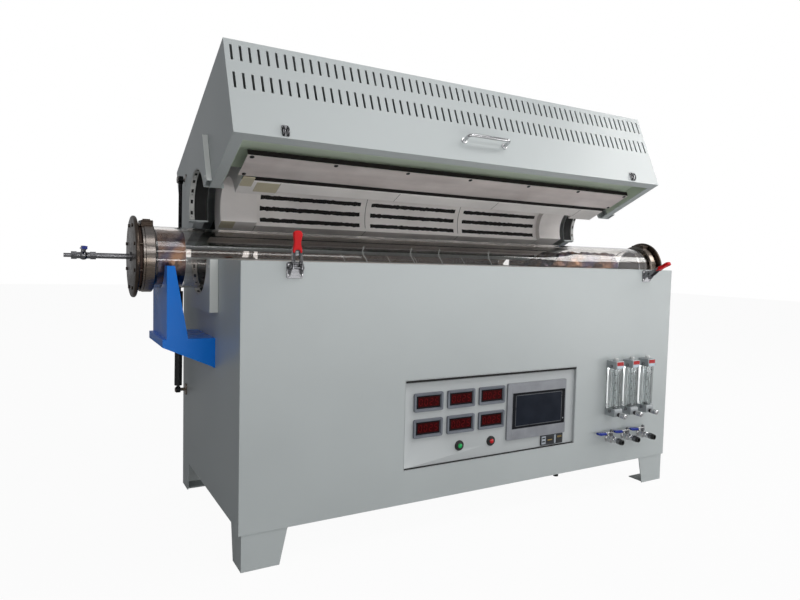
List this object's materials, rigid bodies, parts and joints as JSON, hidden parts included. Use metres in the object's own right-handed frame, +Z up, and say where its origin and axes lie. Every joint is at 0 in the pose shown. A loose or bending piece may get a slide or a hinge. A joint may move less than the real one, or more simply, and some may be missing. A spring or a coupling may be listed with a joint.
{
  "type": "tube furnace",
  "caption": "Split tube furnace: cabinet with hinged vented lid held open by gas struts, quartz work tube with sealed end flanges, front controls and gas panel.",
  "frame": {"origin": "on the floor under the middle of the cabinet's footprint", "axes": "+X to the right along the cabinet and its work tube, +Y to the rear, +Z up; the front panel faces -Y"},
  "size_m": [2.11, 0.866, 1.2548],
  "materials": {
    "cabinet_paint": "satin powder coat",
    "plate_paint": "satin",
    "blue_paint": "satin powder coat",
    "black_paint": "satin",
    "unit_grey": "matte",
    "steel": "brushed",
    "tinted_steel": "heat tinted",
    "black_rod": "nitrided black",
    "chrome": "polished",
    "heating_wire": "oxidised",
    "float_metal": "satin",
    "meter_plastic": "matte",
    "panel_silver": "satin",
    "socket_plastic": "matte",
    "black_plastic": "matte",
    "green_plastic": "gloss",
    "red_plastic": "gloss",
    "lever_blue": "gloss dipped",
    "clear_plastic": "clear moulded",
    "clear_glass": "clear",
    "quartz": "clear fused quartz",
    "fibre": "dry ceramic fibre",
    "seal_rubber": "silicone"
  },
  "bodies": {
    "base": {"cabinet": "cabinet_paint", "front_panel": "cabinet_paint", "feet": "cabinet_paint", "control_plate": "plate_paint", "meters": "meter_plastic", "touch_panel": "panel_silver", "port_block": "socket_plastic", "button_bezels": "chrome", "rotameter_bodies": "clear_plastic", "flow_tubes": "clear_glass", "ball_valves": "chrome", "latch_bases": "steel", "lower_insulation": "fibre", "lower_heaters": "heating_wire", "lower_covers": "cabinet_paint", "lower_ports": "cabinet_paint", "thermocouples": "steel", "quartz_tube": "quartz", "heat_shields": "tinted_steel", "flange_hubs": "steel", "flange_discs": "tinted_steel", "flange_seals": "seal_rubber", "flange_bolts": "steel", "inlet_valve": "chrome", "outlet_pipe": "chrome", "bracket_left": "blue_paint", "bracket_right": "blue_paint", "ball_studs": "steel", "hinge_leaves": "steel", "power_unit": "unit_grey", "cable_gland": "black_plastic"},
    "lid": {"lid_shell": "cabinet_paint", "lid_handle": "chrome", "lid_keepers": "steel", "upper_insulation": "fibre", "upper_heaters": "heating_wire", "upper_covers": "cabinet_paint", "upper_ports": "cabinet_paint", "lid_knuckles": "steel", "lid_ball_studs": "steel"},
    "green_button": {"green_button": "green_plastic"},
    "red_button": {"red_button": "red_plastic"},
    "inlet_lever": {"inlet_lever": "lever_blue"},
    "latch_handle_left": {"latch_handle_left": "red_plastic"},
    "latch_handle_right": {"latch_handle_right": "red_plastic"},
    "latch_bow_left": {"latch_bow_left": "steel"},
    "latch_bow_right": {"latch_bow_right": "steel"},
    "spring_cylinder_left": {"spring_cylinder_left": "black_paint"},
    "spring_cylinder_right": {"spring_cylinder_right": "black_paint"},
    "spring_rod_left": {"spring_rod_left": "black_rod"},
    "spring_rod_right": {"spring_rod_right": "black_rod"},
    "float_1": {"float_1": "float_metal"},
    "needle_knob_1": {"needle_knob_1": "chrome"},
    "valve_lever_1": {"valve_lever_1": "lever_blue"},
    "float_2": {"float_2": "float_metal"},
    "needle_knob_2": {"needle_knob_2": "chrome"},
    "valve_lever_2": {"valve_lever_2": "lever_blue"},
    "float_3": {"float_3": "float_metal"},
    "needle_knob_3": {"needle_knob_3": "chrome"},
    "valve_lever_3": {"valve_lever_3": "lever_blue"}
  },
  "joints": [
    {"name": "lid_hinge", "type": "hinge", "parent": "base", "child": "lid", "pos_m": [0, 0.381, 0.72], "axis": [1, 0, 0], "range_deg": [0, 24.16]},
    {"name": "spring_swing_left", "type": "hinge", "parent": "base", "child": "spring_cylinder_left", "pos_m": [-0.742, 0.2974, 0.312], "axis": [1, 0, 0], "range_deg": [-0.5, 8.8]},
    {"name": "spring_stroke_left", "type": "slide", "parent": "spring_cylinder_left", "child": "spring_rod_left", "axis": [0, -0.0437, 0.999], "range_m": [-0.054, 0.0005]},
    {"name": "spring_swing_right", "type": "hinge", "parent": "base", "child": "spring_cylinder_right", "pos_m": [0.742, 0.2974, 0.312], "axis": [1, 0, 0], "range_deg": [-0.5, 8.8]},
    {"name": "spring_stroke_right", "type": "slide", "parent": "spring_cylinder_right", "child": "spring_rod_right", "axis": [0, -0.0437, 0.999], "range_m": [-0.054, 0.0005]},
    {"name": "green_press", "type": "slide", "parent": "base", "child": "green_button", "axis": [0, 1, 0], "range_m": [0, 0.0022], "stiffness_N_per_m": 600, "springref_m": -0.001},
    {"name": "red_press", "type": "slide", "parent": "base", "child": "red_button", "axis": [0, 1, 0], "range_m": [0, 0.0022], "stiffness_N_per_m": 600, "springref_m": -0.001},
    {"name": "inlet_turn", "type": "hinge", "parent": "base", "child": "inlet_lever", "pos_m": [-1.012, 0.03, 0.72], "axis": [0, 0, 1], "range_deg": [-90, 0]},
    {"name": "float_rise_1", "type": "slide", "parent": "base", "child": "float_1", "axis": [0, 0, 1], "range_m": [0, 0.12]},
    {"name": "needle_turn_1", "type": "hinge", "parent": "base", "child": "needle_knob_1", "pos_m": [0.451, -0.387, 0.26], "axis": [0, -1, 0], "continuous": true},
    {"name": "valve_turn_1", "type": "hinge", "parent": "base", "child": "valve_lever_1", "pos_m": [0.45, -0.362, 0.177], "axis": [0, 0, 1], "range_deg": [0, 90]},
    {"name": "float_rise_2", "type": "slide", "parent": "base", "child": "float_2", "axis": [0, 0, 1], "range_m": [0, 0.12]},
    {"name": "needle_turn_2", "type": "hinge", "parent": "base", "child": "needle_knob_2", "pos_m": [0.524, -0.387, 0.26], "axis": [0, -1, 0], "continuous": true},
    {"name": "valve_turn_2", "type": "hinge", "parent": "base", "child": "valve_lever_2", "pos_m": [0.523, -0.362, 0.177], "axis": [0, 0, 1], "range_deg": [0, 90]},
    {"name": "float_rise_3", "type": "slide", "parent": "base", "child": "float_3", "axis": [0, 0, 1], "range_m": [0, 0.12]},
    {"name": "needle_turn_3", "type": "hinge", "parent": "base", "child": "needle_knob_3", "pos_m": [0.597, -0.387, 0.26], "axis": [0, -1, 0], "continuous": true},
    {"name": "valve_turn_3", "type": "hinge", "parent": "base", "child": "valve_lever_3", "pos_m": [0.597, -0.362, 0.177], "axis": [0, 0, 1], "range_deg": [0, 90]},
    {"name": "latch_swing_left", "type": "hinge", "parent": "base", "child": "latch_handle_left", "pos_m": [-0.6, -0.358, 0.706], "axis": [1, 0, 0], "range_deg": [0, 62]},
    {"name": "latch_swing_right", "type": "hinge", "parent": "base", "child": "latch_handle_right", "pos_m": [0.6, -0.358, 0.706], "axis": [1, 0, 0], "range_deg": [-62, 0]},
    {"name": "bow_swing_left", "type": "hinge", "parent": "latch_handle_left", "child": "latch_bow_left", "pos_m": [-0.6, -0.36, 0.716], "axis": [1, 0, 0], "range_deg": [0, 10]},
    {"name": "bow_swing_right", "type": "hinge", "parent": "latch_handle_right", "child": "latch_bow_right", "pos_m": [0.6, -0.36777, 0.70893], "axis": [1, 0, 0], "range_deg": [0, 10]}
  ],
  "couplings": [
    {"joint": "spring_swing_left", "follows": "lid_hinge", "ratio": 0.3574},
    {"joint": "spring_stroke_left", "follows": "lid_hinge", "m_per_rad": -0.1263},
    {"joint": "spring_swing_right", "follows": "lid_hinge", "ratio": 0.3574},
    {"joint": "spring_stroke_right", "follows": "lid_hinge", "m_per_rad": -0.1263}
  ]
}
